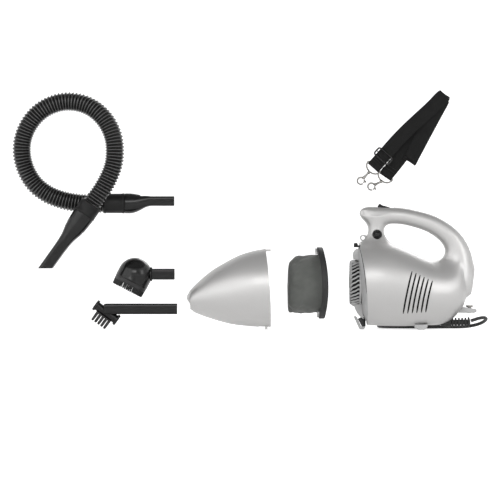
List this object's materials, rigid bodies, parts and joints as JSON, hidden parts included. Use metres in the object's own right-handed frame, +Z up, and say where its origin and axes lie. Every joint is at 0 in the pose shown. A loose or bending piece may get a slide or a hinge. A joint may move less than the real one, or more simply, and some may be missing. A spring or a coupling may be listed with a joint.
{
  "type": "canister vacuum cleaner",
  "caption": "Small hand-held canister vacuum cleaner with loop handle, laid out with its nose cone, cloth filter, corrugated hose, brushes and shoulder strap.",
  "frame": {"origin": "middle of the foot's flat underside, on the surface the body stands on", "axes": "+Z up, the nose points along -X, +Y to the side away from the release button"},
  "size_m": [0.858, 0.2558, 0.4293],
  "materials": {
    "silver_paint": "metallic silver paint on moulded plastic",
    "silver_paint_cone": "metallic silver paint on moulded plastic",
    "pale_trim": "very light grey moulded plastic",
    "gloss_black": "glossy black moulded plastic",
    "satin_black": "satin black moulded plastic",
    "hose_black": "satin black corrugated hose",
    "black_rubber": "matte black rubber",
    "cord_rubber": "matte black lead sheath",
    "webbing": "matte black woven webbing",
    "filter_cloth": "dark grey-green woven filter cloth",
    "bristle": "black brush hair",
    "nickel_steel": "nickel plated steel",
    "aluminium": "plain sheet and die cast",
    "lamination": "laminated steel",
    "copper_winding": "enamelled copper winding",
    "brass": "plain brass",
    "fibre": "black fibre board and carbon"
  },
  "bodies": {
    "body": {"housing_near_half": "silver_paint", "housing_far_half": "silver_paint", "housing_screw_1": "nickel_steel", "housing_screw_2": "nickel_steel", "housing_screw_3": "nickel_steel", "front_plate": "pale_trim", "intake_grille": "pale_trim", "lower_hook": "pale_trim", "hinge_insert": "black_rubber", "front_strap_lug": "pale_trim", "rear_strap_lug": "pale_trim", "rear_eyelet": "nickel_steel", "foot": "pale_trim", "switch_module": "fibre", "strain_relief": "black_rubber", "fan_shroud": "satin_black", "stator_core": "lamination", "front_bearing": "nickel_steel", "rear_bearing": "nickel_steel", "front_bracket": "aluminium", "rear_bracket": "aluminium", "carbon_brush_near": "fibre", "carbon_brush_far": "fibre", "switch_lead": "cord_rubber", "power_cord": "cord_rubber", "cord_coil": "cord_rubber", "cord_tail": "cord_rubber", "plug_body": "cord_rubber", "plug_pins": "brass"},
    "rotor": {"impeller": "aluminium", "motor_shaft": "nickel_steel", "armature_core": "copper_winding", "commutator": "brass"},
    "button": {"release_button": "gloss_black"},
    "latch": {"latch_hook": "satin_black"},
    "slider": {"switch_slider": "satin_black"},
    "cone": {"dust_cone": "silver_paint_cone"},
    "flap": {"mouth_flap": "black_rubber"},
    "filter": {"filter_ring": "black_rubber", "filter_bag": "filter_cloth"},
    "hose_set": {"hose": "hose_black", "adaptor_cuff": "satin_black", "nozzle_cuff": "satin_black"},
    "adaptor": {"hose_adaptor": "gloss_black"},
    "nozzle": {"crevice_nozzle": "gloss_black"},
    "round_brush": {"brush_tube": "gloss_black"},
    "round_head": {"brush_head": "gloss_black", "brush_bristles": "bristle"},
    "claw_brush": {"claw_tube": "gloss_black", "claw_head": "gloss_black", "claw_comb": "black_rubber"},
    "strap": {"webbing_front_run": "webbing", "webbing_folded": "webbing"},
    "glide": {"tri_glide": "satin_black"},
    "ring_a": {"snap_a_ring": "nickel_steel"},
    "hook_a": {"snap_a_hook": "nickel_steel"},
    "gate_a": {"snap_a_gate": "nickel_steel"},
    "ring_b": {"snap_b_ring": "nickel_steel"},
    "hook_b": {"snap_b_hook": "nickel_steel"},
    "gate_b": {"snap_b_gate": "nickel_steel"}
  },
  "joints": [
    {"name": "motor_spin", "type": "hinge", "parent": "body", "child": "rotor", "pos_m": [0, 0, 0.0845], "axis": [1, 0, 0], "continuous": true},
    {"name": "power_switch", "type": "slide", "parent": "body", "child": "slider", "axis": [1, 0, 0], "range_m": [0, 0.006]},
    {"name": "button_press", "type": "slide", "parent": "body", "child": "button", "axis": [0, 1, 0], "range_m": [0, 0.003], "stiffness_N_per_m": 300},
    {"name": "latch_drop", "type": "slide", "parent": "body", "child": "latch", "axis": [0, 0, -1], "range_m": [0, 0.003], "stiffness_N_per_m": 300},
    {"name": "cone_slide", "type": "slide", "parent": "body", "child": "cone", "axis": [0.9992, 0, 0.0411], "range_m": [0, 0.17014]},
    {"name": "filter_slide", "type": "slide", "parent": "body", "child": "filter", "axis": [0.9976, 0, -0.0698], "range_m": [0, 0.05012]},
    {"name": "flap_swing", "type": "hinge", "parent": "cone", "child": "flap", "pos_m": [-0.4048, 0, 0.0586], "axis": [0, -1, 0], "range_deg": [0, 60]},
    {"name": "hose_set_out", "type": "slide", "parent": "body", "child": "hose_set", "axis": [0, -1, 0], "range_m": [0, 0.1]},
    {"name": "adaptor_swivel", "type": "hinge", "parent": "hose_set", "child": "adaptor", "pos_m": [-0.5326, 0.016, 0.2272], "axis": [1, 0, 0], "range_deg": [-90, 90]},
    {"name": "nozzle_swivel", "type": "hinge", "parent": "hose_set", "child": "nozzle", "pos_m": [-0.5905, -0.022, 0.226], "axis": [-0.5832, 0, -0.8123], "range_deg": [-90, 90]},
    {"name": "round_brush_out", "type": "slide", "parent": "body", "child": "round_brush", "axis": [0, -1, 0], "range_m": [0, 0.1]},
    {"name": "round_head_swivel", "type": "hinge", "parent": "round_brush", "child": "round_head", "pos_m": [-0.483, 0, 0.0995], "axis": [1, 0, 0], "range_deg": [-90, 90]},
    {"name": "claw_brush_out", "type": "slide", "parent": "body", "child": "claw_brush", "axis": [0, -1, 0], "range_m": [0, 0.1]},
    {"name": "strap_out", "type": "slide", "parent": "body", "child": "strap", "axis": [0, -1, 0], "range_m": [0, 0.1]},
    {"name": "glide_slide", "type": "slide", "parent": "strap", "child": "glide", "axis": [0.6639, 0, 0.7479], "range_m": [0, 0.08]},
    {"name": "ring_a_swing", "type": "hinge", "parent": "strap", "child": "ring_a", "pos_m": [-0.0833, -0.0069, 0.2936], "axis": [-0.7479, 0, 0.6639], "range_deg": [0, 60]},
    {"name": "hook_a_swivel", "type": "hinge", "parent": "ring_a", "child": "hook_a", "pos_m": [-0.09193, -0.0069, 0.28388], "axis": [-0.6915, 0, -0.7224], "continuous": true},
    {"name": "gate_a_open", "type": "hinge", "parent": "hook_a", "child": "gate_a", "pos_m": [-0.10215, -0.0069, 0.26985], "axis": [0, 1, 0], "range_deg": [0, 12], "stiffness_Nm_per_rad": 0.01},
    {"name": "ring_b_swing", "type": "hinge", "parent": "strap", "child": "ring_b", "pos_m": [-0.062, 0.0002, 0.2778], "axis": [0.8283, 0, -0.5602], "range_deg": [0, 60]},
    {"name": "hook_b_swivel", "type": "hinge", "parent": "ring_b", "child": "hook_b", "pos_m": [-0.06928, 0.0002, 0.26703], "axis": [-0.8912, 0, -0.4536], "continuous": true},
    {"name": "gate_b_open", "type": "hinge", "parent": "hook_b", "child": "gate_b", "pos_m": [-0.08242, 0.0002, 0.25774], "axis": [0, 1, 0], "range_deg": [0, 12], "stiffness_Nm_per_rad": 0.01}
  ],
  "couplings": [
    {"joint": "latch_drop", "follows": "button_press", "ratio": 1},
    {"joint": "filter_slide", "follows": "cone_slide", "ratio": 0.29457}
  ]
}
